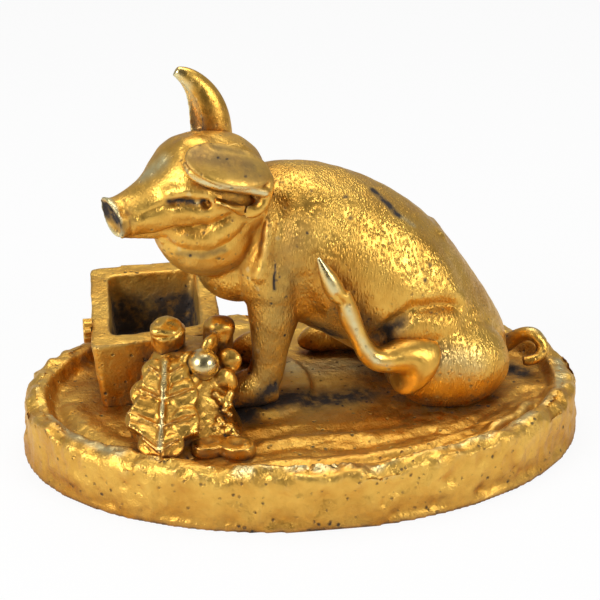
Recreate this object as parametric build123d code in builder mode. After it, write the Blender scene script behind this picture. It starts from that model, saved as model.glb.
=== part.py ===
from build123d import *
import os
from math import cos, radians, sin

os.makedirs("parts", exist_ok=True)

# A still bank: a hollow cast pig sits beside its trough on an oval piece of ground.
# Frame: +X runs from the snout end to the tail end, +Z is up, and the origin is under
# the middle of the base. All sizes are in millimetres.

# --- Driving dimensions ---------------------------------------------------------------
BASE_LENGTH = 130.0
BASE_WIDTH = 90.0
RIM_HEIGHT = 13.5          # rocky rim round the ground
RIM_EDGE_RADIUS = 2.6
GROUND_HEIGHT = 10.2       # top of the ground inside the rim
RIM_WIDTH = 7.5            # at the ground; the inner slope leaves a narrower top
RIM_SLOPE = 2.0
RISE_HEIGHT = 11.8         # low rise under the fore hooves
ROOF_UNDERSIDE = 6.2       # the base is hollow up to here
BASE_WALL = 4.0

SPLIT_Y = 4.0              # the pig's two shells meet on this upright plane
SHELL_WALL = 2.8
SLOT_LENGTH = 24.0         # takes coins up to about 21.5 across
SLOT_WIDTH = 2.4
SLOT_ROLL = 36.0           # slot's angle off the top of the back
WELL_CENTRE = (34.0, 4.0)
WELL_RADIUS = 11.5         # coins leave through this well under the rump

HEAD_ROOT = Vector(-13.0, 3.0, 54.5)
HEAD_TURN = 21.0           # the pig looks a little towards the front
HEAD_SIDEWAYS = Vector(sin(radians(HEAD_TURN)), -cos(radians(HEAD_TURN)), 0)
NECK_LEAN = 14.0

TROUGH_WALL = 4.4
TROUGH_FLOOR = 15.2
TROUGH_TOP_TILT = 7.0

SCREW_RADIUS = 1.5         # seat and trough screws
SCREW_HEAD_RADIUS = 2.9
SCREW_HEAD_DEPTH = 1.7
CROSS_SCREW_RADIUS = 2.0
PIVOT_RADIUS = 2.0
FIT = 0.05                 # running clearance, and the gap under the roof

UPWARD = (Align.CENTER, Align.CENTER, Align.MIN)

# Stations along the back: x, z, lean of the section, half height and half width.
TRUNK = [
    (-20.0, 52.0, 14, 9.0, 9.0),
    (-15.5, 51.5, 16, 13.0, 12.0),
    (-8.0, 50.0, 20, 16.5, 14.6),
    (1.0, 47.1, 26, 18.1, 16.2),
    (10.0, 42.7, 32, 18.4, 17.2),
    (18.5, 36.8, 38, 17.8, 17.6),
    (26.0, 29.6, 44, 16.2, 17.6),
    (33.0, 22.5, 49, 13.9, 16.6),
    (39.3, 16.6, 53, 10.8, 13.5),
    (43.0, 13.2, 56, 6.5, 9.0),
]
# The chamber starts behind a solid neck and follows the back down to the rump.
CHAMBER_STATIONS = [(-3.0, 48.4, 23, 17.2, 15.4)] + TRUNK[3:9]

# Stations along the head: distance from its root, height of the middle, half height,
# half width and pitch of the section. The last ones are the snout.
HEAD = [
    (-4.0, 3.0, 10.0, 9.0, 0),
    (0.0, 4.8, 13.2, 11.0, 0),
    (5.0, 6.6, 13.4, 12.0, 0),
    (10.0, 7.8, 12.9, 12.2, 0),
    (14.5, 8.8, 11.8, 11.2, 0),
    (17.6, 8.6, 10.5, 9.8, 0),
    (20.0, 7.4, 8.5, 8.4, 4),
    (23.0, 6.1, 6.6, 6.9, 8),
    (27.0, 5.4, 5.2, 5.6, 11),
    (30.5, 5.2, 4.6, 4.8, 14),
    (32.0, 5.3, 5.0, 5.0, 15),
]


# --- Section planes and repeated ways of making a form --------------------------------
def back_section(x, z, lean):
    """Plane square to the back at one station; its own Y points to the top of the back."""
    return Plane(
        origin=(x, SPLIT_Y, z),
        x_dir=(0, 1, 0),
        z_dir=(cos(radians(lean)), 0, -sin(radians(lean))),
    )


def head_forward(pitch=0.0):
    """Direction of the head at a pitch below level."""
    level = cos(radians(pitch))
    turn = radians(HEAD_TURN)
    return Vector(-cos(turn) * level, -sin(turn) * level, -sin(radians(pitch)))


def head_point(distance, sideways, height):
    """Point in the head's own directions: forward, to its near side, and up."""
    return HEAD_ROOT + head_forward() * distance + HEAD_SIDEWAYS * sideways + Vector(0, 0, height)


def head_section(distance, height, pitch):
    """Plane square to the head at one station; its own X runs across the head."""
    origin = head_point(distance, 0, height)
    return Plane(origin=origin, x_dir=HEAD_SIDEWAYS, z_dir=head_forward(pitch))


def limb(stations, mode=Mode.ADD):
    """Loft round or oval sections (x, y, z, radius[, sideways radius]) along a limb."""
    points = [Vector(*station[:3]) for station in stations]
    last = len(points) - 1
    rings = []
    for i, station in enumerate(stations):
        run = points[min(i + 1, last)] - points[max(i - 1, 0)]
        across = Vector(0, 1, 0).cross(run)
        with BuildSketch(Plane(origin=points[i], x_dir=across, z_dir=run)) as ring:
            Ellipse(station[3], station[-1])
        rings.append(ring.sketch)
    loft(rings, mode=mode)


def blob(half_sizes):
    """Egg-shaped mass about the origin of the block."""
    Sphere(1.0)
    scale(by=half_sizes)


def upright(places, height):
    """Locations of upright screws whose heads start at one height."""
    return Locations(*[(x, y, height) for x, y in places])


# --- Forms that more than one casting is cut from -------------------------------------
with BuildPart() as ground_form:
    with BuildSketch():
        Ellipse(BASE_LENGTH / 2, BASE_WIDTH / 2)
    extrude(amount=RIM_HEIGHT)
    fillet(ground_form.faces().sort_by(Axis.Z)[-1].edges(), RIM_EDGE_RADIUS)
    with BuildSketch(Plane.XY.offset(GROUND_HEIGHT)):
        Ellipse(BASE_LENGTH / 2 - RIM_WIDTH, BASE_WIDTH / 2 - RIM_WIDTH)
    with BuildSketch(Plane.XY.offset(RIM_HEIGHT)):
        Ellipse(BASE_LENGTH / 2 - RIM_WIDTH + RIM_SLOPE, BASE_WIDTH / 2 - RIM_WIDTH + RIM_SLOPE)
    loft(mode=Mode.SUBTRACT)
    # The rim dips to the ground's level at the middle of the far side.
    DIP_RADIUS = 190.0
    with BuildSketch(Plane.XZ.offset(-BASE_WIDTH / 2)):
        with Locations((0, GROUND_HEIGHT + DIP_RADIUS)):
            Circle(DIP_RADIUS)
    extrude(amount=22, mode=Mode.SUBTRACT)
    # Low rise that carries the fore hooves.
    with BuildSketch(Plane.XY.offset(GROUND_HEIGHT - 1)):
        with Locations((-8.5, 4.5)):
            Ellipse(11.0, 16.5)
    extrude(amount=RISE_HEIGHT - GROUND_HEIGHT + 1)
    rise_top = ground_form.faces().filter_by_position(Axis.Z, RISE_HEIGHT - 0.01, RISE_HEIGHT + 0.01)
    fillet(rise_top.edges(), 1.2)

with BuildPart() as haunch_form:
    blob((14.6, 9.5, 11.4))

with BuildPart() as chest_form:
    blob((9.5, 10.5, 9.5))

# The head meets the neck on a leaning plane.
neck_joint = Plane(
    origin=HEAD_ROOT + Vector(0, 0, 4.4),
    x_dir=HEAD_SIDEWAYS,
    z_dir=head_forward(-NECK_LEAN),
)

with BuildPart() as head_form:
    for distance, height, half_height, half_width, pitch in HEAD:
        with BuildSketch(head_section(distance, height, pitch)):
            Ellipse(half_width, half_height)
    loft()
    split(bisect_by=neck_joint, keep=Keep.TOP)

# A flanged tenon behind the head is gripped between the two shells.
TENON_DROP = 3.4
TENON_RADIUS = 4.5
TENON_LENGTH = 4.5
FLANGE_RADIUS = 6.5
FLANGE_THICKNESS = 2.5
with BuildPart() as neck_tenon_form:
    with BuildSketch(neck_joint):
        with Locations((0, -TENON_DROP)):
            Circle(TENON_RADIUS)
    extrude(amount=-TENON_LENGTH)
    with BuildSketch(neck_joint.offset(-TENON_LENGTH)):
        with Locations((0, -TENON_DROP)):
            Circle(FLANGE_RADIUS)
    extrude(amount=-FLANGE_THICKNESS)

with BuildPart() as trunk_form:
    for x, z, lean, half_height, half_width in TRUNK:
        with BuildSketch(back_section(x, z, lean)):
            Ellipse(half_width, half_height)
    loft()
    split(bisect_by=neck_joint, keep=Keep.BOTTOM)
    with Locations((-14.5, SPLIT_Y, 43.0)):
        add(chest_form.part)
    # Seat under the rump, with the coin well inside it.
    with BuildSketch(Plane.XY.offset(GROUND_HEIGHT)):
        with Locations(WELL_CENTRE):
            Ellipse(13.8, 14.0)
    extrude(amount=10.0)

# Room for the coins, from the shoulders down to the well.
with BuildPart() as chamber_form:
    for x, z, lean, half_height, half_width in CHAMBER_STATIONS:
        with BuildSketch(back_section(x, z, lean)):
            Ellipse(half_width - SHELL_WALL, half_height - SHELL_WALL)
    loft()
    with BuildSketch(Plane.XY.offset(GROUND_HEIGHT)):
        with Locations(WELL_CENTRE):
            Circle(WELL_RADIUS)
    extrude(amount=9.5)

# --- Trough ---------------------------------------------------------------------------
# Plan corners at the ground and at the highest rim; the walls flare between them.
TROUGH_FOOT = [(-46.5, -1.5), (-45.5, 29.0), (-20.0, 31.0), (-20.0, 0.0)]
TROUGH_MOUTH = [(-49.2, -2.4), (-47.2, 33.0), (-17.2, 34.6), (-18.2, 1.1)]
TROUGH_MOUTH_HEIGHT = 31.5
TROUGH_SCREWS = [(-33.0, 6.0), (-33.0, 23.0)]
TROUGH_SCREW_LENGTH = 7.6
RIM_MIDDLE = (-33.0, 15.0, 28.2)
trough_rim = Plane(origin=RIM_MIDDLE).rotated((TROUGH_TOP_TILT, 0, 0))

CORNER_RADIUS = 1.6


def trough_outline(corners, height, inset=0.0):
    """Rounded four-sided plan of the trough at a height, drawn in by the inset."""
    with BuildSketch(Plane.XY.offset(height)) as plan:
        Polygon(*corners, align=None)
        if inset:
            offset(amount=-inset, kind=Kind.INTERSECTION)
        fillet(plan.vertices(), CORNER_RADIUS)
    return plan.sketch


with BuildPart() as trough_form:
    foot = trough_outline(TROUGH_FOOT, GROUND_HEIGHT)
    mouth = trough_outline(TROUGH_MOUTH, TROUGH_MOUTH_HEIGHT)
    loft([foot, mouth], ruled=True)
    split(bisect_by=trough_rim, keep=Keep.BOTTOM)

with BuildPart() as trough_casting:
    add(trough_form.part)
    floor = trough_outline(TROUGH_FOOT, TROUGH_FLOOR, TROUGH_WALL - 0.4)
    inner_mouth = trough_outline(TROUGH_MOUTH, TROUGH_MOUTH_HEIGHT, TROUGH_WALL)
    loft([floor, inner_mouth], ruled=True, mode=Mode.SUBTRACT)
    add(ground_form.part, mode=Mode.SUBTRACT)
    with upright(TROUGH_SCREWS, ROOF_UNDERSIDE):
        Cylinder(SCREW_RADIUS, TROUGH_SCREW_LENGTH, align=UPWARD, mode=Mode.SUBTRACT)
trough_casting.part.label = "trough_casting"

# --- The pig's two shells -------------------------------------------------------------
# Section sketches on the split plane use the part's own x and z.
SPLIT_PLANE = Plane.XZ.offset(-SPLIT_Y)
BOSS_AT = (0.0, 45.0)                 # the screw that draws the shells together
BOSS_RADIUS = 4.6
BOSS_LENGTH = 14.5
CROSS_HEAD_RADIUS = 4.0
CROSS_HEAD_DEPTH = 2.0
CROSS_SEAT_Y = 17.0                   # its head seats here, in the far shell
CROSS_TIP_Y = -7.5
DOWEL_RADIUS = 1.25
DOWEL_LENGTH = 7.0
DOWEL_PLACES = [(-16.5, 42.0), (29.5, 46.0)]
DOWEL_BOSS_RADIUS = 3.4
DOWEL_BOSS_LENGTH = 4.5
HAUNCH_NEAR = (32.4, -7.5, 19.6)
HAUNCH_FAR = (32.4, 15.5, 19.6)
HAUNCH_PITCH = 8.0

NEAR_LEGS = [
    [
        (-6.5, -2.0, 44.0, 8.8),
        (-7.2, -4.0, 36.0, 6.6),
        (-7.9, -5.5, 29.0, 5.0),
        (-8.6, -6.0, 23.0, 3.9),
        (-9.2, -6.2, 18.0, 3.4),
        (-11.0, -6.5, 15.5, 3.4),
    ],
    [
        (-7.0, -6.2, 15.5, 3.4),
        (-12.5, -6.5, 15.6, 4.4),
        (-17.5, -7.0, 14.8, 3.2),
        (-19.6, -7.2, 14.0, 1.4),
    ],
]
FAR_LEGS = [
    [
        (-4.0, 11.0, 44.0, 8.4),
        (-4.4, 13.0, 36.0, 6.4),
        (-4.7, 13.6, 29.0, 5.0),
        (-5.0, 13.8, 23.0, 3.9),
        (-5.3, 13.9, 18.0, 3.4),
        (-6.5, 14.0, 15.5, 3.4),
    ],
    [
        (-2.8, 14.0, 15.5, 3.4),
        (-8.0, 14.2, 15.6, 4.2),
        (-12.8, 14.4, 14.8, 3.1),
        (-14.8, 14.5, 14.0, 1.4),
    ],
    [
        (27.0, 15.5, 18.0, 6.0),
        (19.0, 19.0, 14.8, 4.4),
        (11.0, 20.4, 13.6, 3.4),
        (7.5, 20.8, 13.6, 3.6),
        (3.2, 21.0, 12.8, 2.2),
        (1.8, 21.1, 12.4, 1.0),
    ],
]

# Seat screws come up through the base into the haunches and the fore hooves.
SEAT_SCREWS = [(32.4, -10.8), (32.4, 18.8), (-11.5, -6.5), (-7.5, 14.1)]
SEAT_SCREW_LENGTH = 10.8

# The raised hind leg is pinned on, and the tail sits in a shallow round pocket.
LEG_PIN_RADIUS = 1.5
LEG_PIN_LENGTH = 6.0
leg_pin_plane = Plane(origin=(22.0, -13.4, 24.6), z_dir=(0.93, 0.20, -0.30))
TAIL_ROOT = Vector(46.9, 7.0, 14.4)
TAIL_ROOT_RADIUS = 2.2
TAIL_POCKET_LENGTH = 5.0
tail_out = Vector(0.93, -0.08, 0.36)


def outer_form(legs, haunch):
    """Outside of one side of the pig, standing on the ground and fitted under the head."""
    add(trunk_form.part)
    with Locations(Location(haunch, (0, HAUNCH_PITCH, 0))):
        add(haunch_form.part)
    for leg in legs:
        limb(leg)
    for neighbour in (head_form, ground_form):
        add(neighbour.part, mode=Mode.SUBTRACT)


def shell(outside, socket, outward):
    """One shell: its outside hollowed by the chamber, with bosses and screw holes."""
    add(outside.part)
    add(chamber_form.part, mode=Mode.SUBTRACT)
    with BuildSketch(SPLIT_PLANE) as screw_boss:
        with Locations(BOSS_AT):
            Circle(BOSS_RADIUS)
    extrude(screw_boss.sketch, amount=outward * BOSS_LENGTH)
    with BuildSketch(SPLIT_PLANE) as dowel_boss:
        with Locations(DOWEL_PLACES[1]):
            Circle(DOWEL_BOSS_RADIUS)
    extrude(dowel_boss.sketch, amount=outward * DOWEL_BOSS_LENGTH)
    with BuildSketch(SPLIT_PLANE) as dowel_holes:
        with Locations(*DOWEL_PLACES):
            Circle(DOWEL_RADIUS)
    extrude(dowel_holes.sketch, amount=outward * DOWEL_LENGTH / 2, mode=Mode.SUBTRACT)
    with upright(SEAT_SCREWS, ROOF_UNDERSIDE):
        Cylinder(SCREW_RADIUS, SEAT_SCREW_LENGTH, align=UPWARD, mode=Mode.SUBTRACT)
    add(neck_tenon_form.part, mode=Mode.SUBTRACT)
    add(socket.part, mode=Mode.SUBTRACT)


with BuildPart() as near_form:
    outer_form(NEAR_LEGS, HAUNCH_NEAR)

with BuildPart() as far_form:
    outer_form(FAR_LEGS, HAUNCH_FAR)

with BuildPart() as leg_pin_form:
    with BuildSketch(leg_pin_plane):
        Circle(LEG_PIN_RADIUS)
    extrude(amount=LEG_PIN_LENGTH)

with BuildPart() as tail_pocket_form:
    with BuildSketch(Plane(origin=TAIL_ROOT, z_dir=tail_out)):
        Circle(TAIL_ROOT_RADIUS)
    extrude(amount=TAIL_POCKET_LENGTH)

with BuildPart() as body_half_near:
    shell(near_form, leg_pin_form, 1)
    # Threaded hole for the cross screw.
    with BuildSketch(SPLIT_PLANE):
        with Locations(BOSS_AT):
            Circle(CROSS_SCREW_RADIUS)
    extrude(amount=SPLIT_Y - CROSS_TIP_Y, mode=Mode.SUBTRACT)
    split(bisect_by=SPLIT_PLANE, keep=Keep.TOP)
body_half_near.part.label = "body_half_near"

with BuildPart() as body_half_far:
    shell(far_form, tail_pocket_form, -1)
    # Clearance hole and counterbore for the cross screw.
    with BuildSketch(SPLIT_PLANE):
        with Locations(BOSS_AT):
            Circle(CROSS_SCREW_RADIUS + 0.2)
    extrude(amount=-20, mode=Mode.SUBTRACT)
    with BuildSketch(Plane.XZ.offset(-CROSS_SEAT_Y)):
        with Locations(BOSS_AT):
            Circle(CROSS_HEAD_RADIUS + 0.2)
    extrude(amount=-6, mode=Mode.SUBTRACT)
    # Coin slot, rolled off the top of the back to the far side.
    slot_lean, slot_roll = radians(33), radians(SLOT_ROLL)
    slot_out = Vector(
        sin(slot_lean) * cos(slot_roll), sin(slot_roll), cos(slot_lean) * cos(slot_roll)
    )
    slot_along = Vector(cos(slot_lean), 0, -sin(slot_lean))
    slot_middle = Vector(11.5, SPLIT_Y, 41.7) + slot_out * 24
    slot_plane = Plane(origin=slot_middle, x_dir=slot_along, z_dir=slot_out)
    with BuildSketch(slot_plane):
        SlotOverall(SLOT_LENGTH, SLOT_WIDTH)
    extrude(amount=-14, mode=Mode.SUBTRACT)
    split(bisect_by=SPLIT_PLANE, keep=Keep.BOTTOM)
body_half_far.part.label = "body_half_far"

# --- Screw and dowels of the shells ---------------------------------------------------
with BuildPart() as body_screw:
    with BuildSketch(Plane.XZ.offset(-CROSS_TIP_Y)):
        with Locations(BOSS_AT):
            Circle(CROSS_SCREW_RADIUS)
    extrude(amount=CROSS_TIP_Y - CROSS_SEAT_Y)
    with BuildSketch(Plane.XZ.offset(-CROSS_SEAT_Y)):
        with Locations(BOSS_AT):
            Circle(CROSS_HEAD_RADIUS)
    extrude(amount=-CROSS_HEAD_DEPTH)
    fillet(body_screw.faces().sort_by(Axis.Y)[-1].edges(), 0.8)
    with BuildSketch(Plane.XZ.offset(-CROSS_SEAT_Y - CROSS_HEAD_DEPTH)):
        with Locations(BOSS_AT):
            Rectangle(2 * CROSS_HEAD_RADIUS, 1.1, rotation=25)
    extrude(amount=1.0, mode=Mode.SUBTRACT)
body_screw.part.label = "body_screw"

with BuildPart() as shell_dowels:
    with BuildSketch(SPLIT_PLANE):
        with Locations(*DOWEL_PLACES):
            Circle(DOWEL_RADIUS)
    extrude(amount=DOWEL_LENGTH / 2, both=True)
shell_dowels.part.label = "shell_dowels"

# --- Head: snout disc, eye sockets and the holes for the ears' pins ---------------------
SNOUT = HEAD[-1]
SNOUT_RECESS_RADIUS = 3.7
NOSTRIL_RADIUS = 0.9
EYE_RADIUS = 1.2
EYE_SOCKET = (2.4, 1.4)    # half length and half height
EYE_OUT = 13.0             # sockets are cut inwards from here, either side of the head
EYE_SOCKET_DEPTH = 3.0
EYEBALL_OUT = 9.5
EAR_PIN_RADIUS = 1.2
UPRIGHT_PIN = (-19.0, 8.4, 67.5)
UPRIGHT_PIN_LENGTH = 5.5
FOLDED_PIN_LENGTH = 5.0

# Upright far ear: a horn-shaped leaf that curls forward, cupped along its front.
UPRIGHT_EAR = [
    (-19.0, 8.6, 69.0, 4.6, 3.8),
    (-19.3, 9.0, 73.0, 4.6, 3.4),
    (-20.0, 9.4, 77.5, 4.2, 3.0),
    (-21.6, 9.7, 81.5, 3.3, 2.4),
    (-23.9, 9.8, 84.4, 2.3, 1.8),
    (-26.8, 9.8, 86.2, 1.1, 0.9),
]
UPRIGHT_EAR_CUP = [
    (-22.9, 7.6, 72.8, 2.0, 1.6),
    (-23.5, 8.0, 77.5, 2.1, 1.7),
    (-24.7, 8.6, 81.0, 1.5, 1.3),
    (-26.6, 9.2, 83.8, 0.6, 0.5),
]

# Folded near ear: a flap lying over the cheek, with a rolled lower rim and a root.
FLAP_TIP = Vector(-26.2, -10.9, 71.4)
FLAP_CORNERS = [
    FLAP_TIP,
    Vector(-24.6, -8.3, 74.2),
    Vector(-14.8, -5.0, 74.2),
    Vector(-9.8, -10.2, 64.6),
]
FLAP_CORNER_RADIUS = 1.2
FLAP_PROUD = 0.7
FLAP_THICKNESS = 3.6
FOLDED_RIM = [
    (-26.0, -11.2, 70.8, 1.2),
    (-22.1, -13.0, 68.9, 1.4),
    (-16.1, -12.9, 67.2, 1.4),
    (-9.9, -10.6, 64.8, 1.2),
]
FOLDED_ROOT = [
    (-9.8, -8.0, 68.0, 1.6),
    (-9.8, -10.0, 64.4, 1.8),
    (-11.4, -10.9, 61.2, 1.5),
    (-16.4, -12.6, 62.2, 1.1),
    (-21.0, -13.2, 64.4, 0.8),
]

folded_pin_plane = Plane(origin=head_point(3.0, 13.2, 9.5), z_dir=-HEAD_SIDEWAYS)

with BuildPart() as folded_pin_form:
    with BuildSketch(folded_pin_plane):
        Circle(EAR_PIN_RADIUS)
    extrude(amount=FOLDED_PIN_LENGTH)

with BuildPart() as head_casting:
    add(head_form.part)
    add(neck_tenon_form.part)
    snout_plane = head_section(SNOUT[0], SNOUT[1], SNOUT[4])
    with BuildSketch(snout_plane):
        Circle(SNOUT_RECESS_RADIUS)
    extrude(amount=-0.8, mode=Mode.SUBTRACT)
    with BuildSketch(snout_plane):
        with Locations((-1.6, 0), (1.6, 0)):
            Circle(NOSTRIL_RADIUS)
    extrude(amount=-2.6, mode=Mode.SUBTRACT)
    for side in (1, -1):
        socket_plane = Plane(
            origin=head_point(15.8, side * EYE_OUT, 9.2),
            x_dir=head_forward(8),
            z_dir=HEAD_SIDEWAYS * side,
        )
        with BuildSketch(socket_plane):
            Ellipse(*EYE_SOCKET)
        extrude(amount=-EYE_SOCKET_DEPTH, mode=Mode.SUBTRACT)
        with Locations(head_point(15.8, side * EYEBALL_OUT, 9.2)):
            Sphere(EYE_RADIUS)
    with Locations(UPRIGHT_PIN):
        Cylinder(EAR_PIN_RADIUS, UPRIGHT_PIN_LENGTH, align=UPWARD, mode=Mode.SUBTRACT)
    add(folded_pin_form.part, mode=Mode.SUBTRACT)
head_casting.part.label = "head_casting"

with BuildPart() as ear_upright:
    limb(UPRIGHT_EAR)
    limb(UPRIGHT_EAR_CUP, mode=Mode.SUBTRACT)
    add(head_form.part, mode=Mode.SUBTRACT)
    with Locations(UPRIGHT_PIN):
        Cylinder(EAR_PIN_RADIUS, UPRIGHT_PIN_LENGTH, align=UPWARD)
ear_upright.part.label = "ear_upright"

with BuildPart() as ear_folded:
    flap_outward = (FLAP_CORNERS[3] - FLAP_TIP).cross(FLAP_CORNERS[2] - FLAP_TIP)
    flap_plane = Plane(origin=FLAP_TIP, x_dir=FLAP_CORNERS[3] - FLAP_TIP, z_dir=flap_outward)
    with BuildSketch(flap_plane.offset(FLAP_PROUD)) as flap:
        corners = [flap_plane.to_local_coords(corner) for corner in FLAP_CORNERS]
        Polygon(*[(corner.X, corner.Y) for corner in corners], align=None)
        fillet(flap.vertices(), FLAP_CORNER_RADIUS)
    extrude(amount=-FLAP_THICKNESS)
    limb(FOLDED_RIM)
    limb(FOLDED_ROOT)
    for neighbour in (head_form, near_form):
        add(neighbour.part, mode=Mode.SUBTRACT)
    add(folded_pin_form.part)
ear_folded.part.label = "ear_folded"

# --- Raised hind leg and curled tail, cast apart --------------------------------------
HIND_LEG = [
    (26.5, -11.0, 23.6, 5.6),
    (20.5, -14.0, 25.0, 4.5),
    (16.5, -15.5, 25.3, 3.2),
    (13.5, -16.2, 26.2, 2.7),
    (11.3, -16.5, 28.8, 2.3),
    (9.2, -16.6, 33.4, 2.2),
    (7.1, -16.8, 39.7, 2.1),
    (6.0, -16.8, 42.5, 2.0),
]
HIND_HOOF = [
    (6.4, -16.8, 41.2, 1.7),
    (4.6, -16.8, 43.2, 2.2),
    (3.3, -16.8, 46.0, 2.0),
    (1.9, -16.8, 49.0, 1.2),
    (0.8, -16.8, 51.6, 0.4),
]
with BuildPart() as hind_leg_raised:
    limb(HIND_LEG)
    limb(HIND_HOOF)
    add(near_form.part, mode=Mode.SUBTRACT)
    add(leg_pin_form.part)
hind_leg_raised.part.label = "hind_leg_raised"

TAIL = [
    (*TAIL_ROOT, TAIL_ROOT_RADIUS),
    (*(TAIL_ROOT + tail_out * 2.4), 2.1),
    (52.2, 5.9, 17.6, 1.9),
    (55.0, 3.9, 19.4, 1.7),
    (57.2, 2.2, 18.0, 1.55),
    (57.2, 0.9, 15.6, 1.4),
    (55.2, 0.2, 14.4, 1.25),
    (52.6, 0.4, 14.2, 1.0),
]
TAIL_BEND = 4              # the curl is lofted in two runs that meet in a ball here

with BuildPart() as tail_curl:
    limb(TAIL[: TAIL_BEND + 1])
    limb(TAIL[TAIL_BEND:])
    with Locations(TAIL[TAIL_BEND][:3]):
        Sphere(TAIL[TAIL_BEND][3])
    add(ground_form.part, mode=Mode.SUBTRACT)
tail_curl.part.label = "tail_curl"

# --- Greens heaped against the trough -------------------------------------------------
# The heap is laid up in ovals from the ground: middle x, middle y, half length, half width.
HEAP = {
    GROUND_HEIGHT: (-28.5, -13.5, 12.6, 14.5),
    15.0: (-28.8, -11.0, 11.0, 11.0),
    21.0: (-28.2, -8.0, 9.4, 8.0),
    27.0: (-27.0, -4.8, 6.6, 4.2),
}
LEAF_TIP = (-35.6, -30.2, 11.9)
LEAF_SLOPE = 37.0
LEAF_LEAN = -10.0
LEAF_THICKNESS = 2.4
# Half of the lobed blade, from its tip up to the stalk: distance across and along.
LEAF_EDGE = [
    (0, 0),
    (3.6, 2.2),
    (4.4, 5.4),
    (7.6, 7.0),
    (7.4, 11.5),
    (6.0, 14.0),
    (5.4, 19.0),
    (1.8, 24.5),
]
MIDRIB_RADIUS = 0.9
FRUIT_CENTRE = (-24.2, -12.4, 25.4)
FRUIT_RADIUS = 3.6
FRUIT_PIN_RADIUS = 1.0
FRUIT_PIN_LENGTH = 4.0
STALKS = [
    [(-30.6, -3.6, 22.0, 3.2), (-31.2, -4.9, 27.0, 3.6), (-31.6, -6.2, 31.6, 4.0, 3.6)],
    [(-21.4, -2.6, 20.0, 2.8), (-20.2, -3.4, 26.0, 3.4), (-19.6, -4.2, 31.0, 3.6, 3.0)],
]
PODS = [(-18.6, -27.0, 11.6), (-24.4, -25.2, 11.4)]
POD_SIZE = (4.4, 3.4, 2.4)

leaf_plane = Plane(origin=LEAF_TIP).rotated((LEAF_SLOPE, 0, LEAF_LEAN))

with BuildPart() as fruit_pin_form:
    with BuildSketch(Plane(origin=FRUIT_CENTRE, z_dir=(-0.35, 0.75, -0.56))):
        Circle(FRUIT_PIN_RADIUS)
    extrude(amount=FRUIT_RADIUS + FRUIT_PIN_LENGTH)

with BuildPart() as pod_form:
    blob(POD_SIZE)

with BuildPart() as leaf_sheaf:
    for height, (x, y, half_length, half_width) in HEAP.items():
        with BuildSketch(Plane.XY.offset(height)):
            with Locations((x, y)):
                Ellipse(half_length, half_width)
    loft()
    with BuildSketch(leaf_plane):
        with BuildLine():
            Polyline(*LEAF_EDGE)
            Polyline(*[(-across, along) for across, along in LEAF_EDGE])
            Line((-LEAF_EDGE[-1][0], LEAF_EDGE[-1][1]), LEAF_EDGE[-1])
        make_face()
    extrude(amount=LEAF_THICKNESS / 2, both=True)
    with BuildSketch(Plane(origin=LEAF_TIP, z_dir=leaf_plane.y_dir).offset(0.5)):
        Circle(MIDRIB_RADIUS)
    extrude(amount=LEAF_EDGE[-1][1] - 1)
    for neighbour in (trough_form, ground_form, near_form, fruit_pin_form):
        add(neighbour.part, mode=Mode.SUBTRACT)
    with Locations(FRUIT_CENTRE):
        Sphere(FRUIT_RADIUS, mode=Mode.SUBTRACT)
leaf_sheaf.part.label = "leaf_sheaf"

with BuildPart() as cut_stalks:
    for stalk in STALKS:
        limb(stalk)
    for neighbour in (leaf_sheaf, trough_form, near_form, fruit_pin_form):
        add(neighbour.part, mode=Mode.SUBTRACT)
    with Locations(FRUIT_CENTRE):
        Sphere(FRUIT_RADIUS, mode=Mode.SUBTRACT)
cut_stalks.part.label = "cut_stalks"

with BuildPart() as fruit_ball:
    with Locations(FRUIT_CENTRE):
        Sphere(FRUIT_RADIUS)
    add(fruit_pin_form.part)
fruit_ball.part.label = "fruit_ball"

with BuildPart() as seed_pods:
    for place, turn in zip(PODS, (-25, 20)):
        with Locations(Location(place, (0, 0, turn))):
            add(pod_form.part)
    for neighbour in (ground_form, leaf_sheaf, near_form):
        add(neighbour.part, mode=Mode.SUBTRACT)
seed_pods.part.label = "seed_pods"

# Fluted knob cast on the trough's left wall.
KNOB_CENTRE = (-48.9, 8.0, 25.6)
KNOB_RADIUS = 2.8
KNOB_HEIGHT = 2.2
KNOB_FLUTES = 8
KNOB_FLUTE_RADIUS = 0.55
with BuildPart() as trough_knob:
    with BuildSketch(Plane(origin=KNOB_CENTRE, z_dir=(-1, 0, 0)).offset(-1.2)):
        Circle(KNOB_RADIUS)
        with PolarLocations(KNOB_RADIUS, KNOB_FLUTES):
            Circle(KNOB_FLUTE_RADIUS, mode=Mode.SUBTRACT)
    extrude(amount=KNOB_HEIGHT)
    add(trough_form.part, mode=Mode.SUBTRACT)
trough_knob.part.label = "trough_knob"

# --- Base casting ---------------------------------------------------------------------
PIVOT = (16.0, 4.0)
PIVOT_THREAD = 3.2
TRAP_RADIUS = 13.4
TRAP_NECK_RADIUS = 5.6
TRAP_THICKNESS = 1.6
TRAP_OPEN = 100.0
LUG_RADIUS = 1.6
LUG_HEIGHT = 1.9
LUG_GAP = 0.1
LUG_ANGLE = 115.0


def trap_lug(swing, side):
    """Place of a stop lug beside the trap's disc when the trap has swung by an angle."""
    reach = WELL_CENTRE[0] - PIVOT[0]
    angle = radians(-swing)
    disc = Vector(PIVOT[0] + reach * cos(angle), PIVOT[1] + reach * sin(angle))
    away = radians(-swing + side * LUG_ANGLE)
    gap = TRAP_RADIUS + LUG_RADIUS + LUG_GAP
    return (disc.X + gap * cos(away), disc.Y + gap * sin(away))


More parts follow.
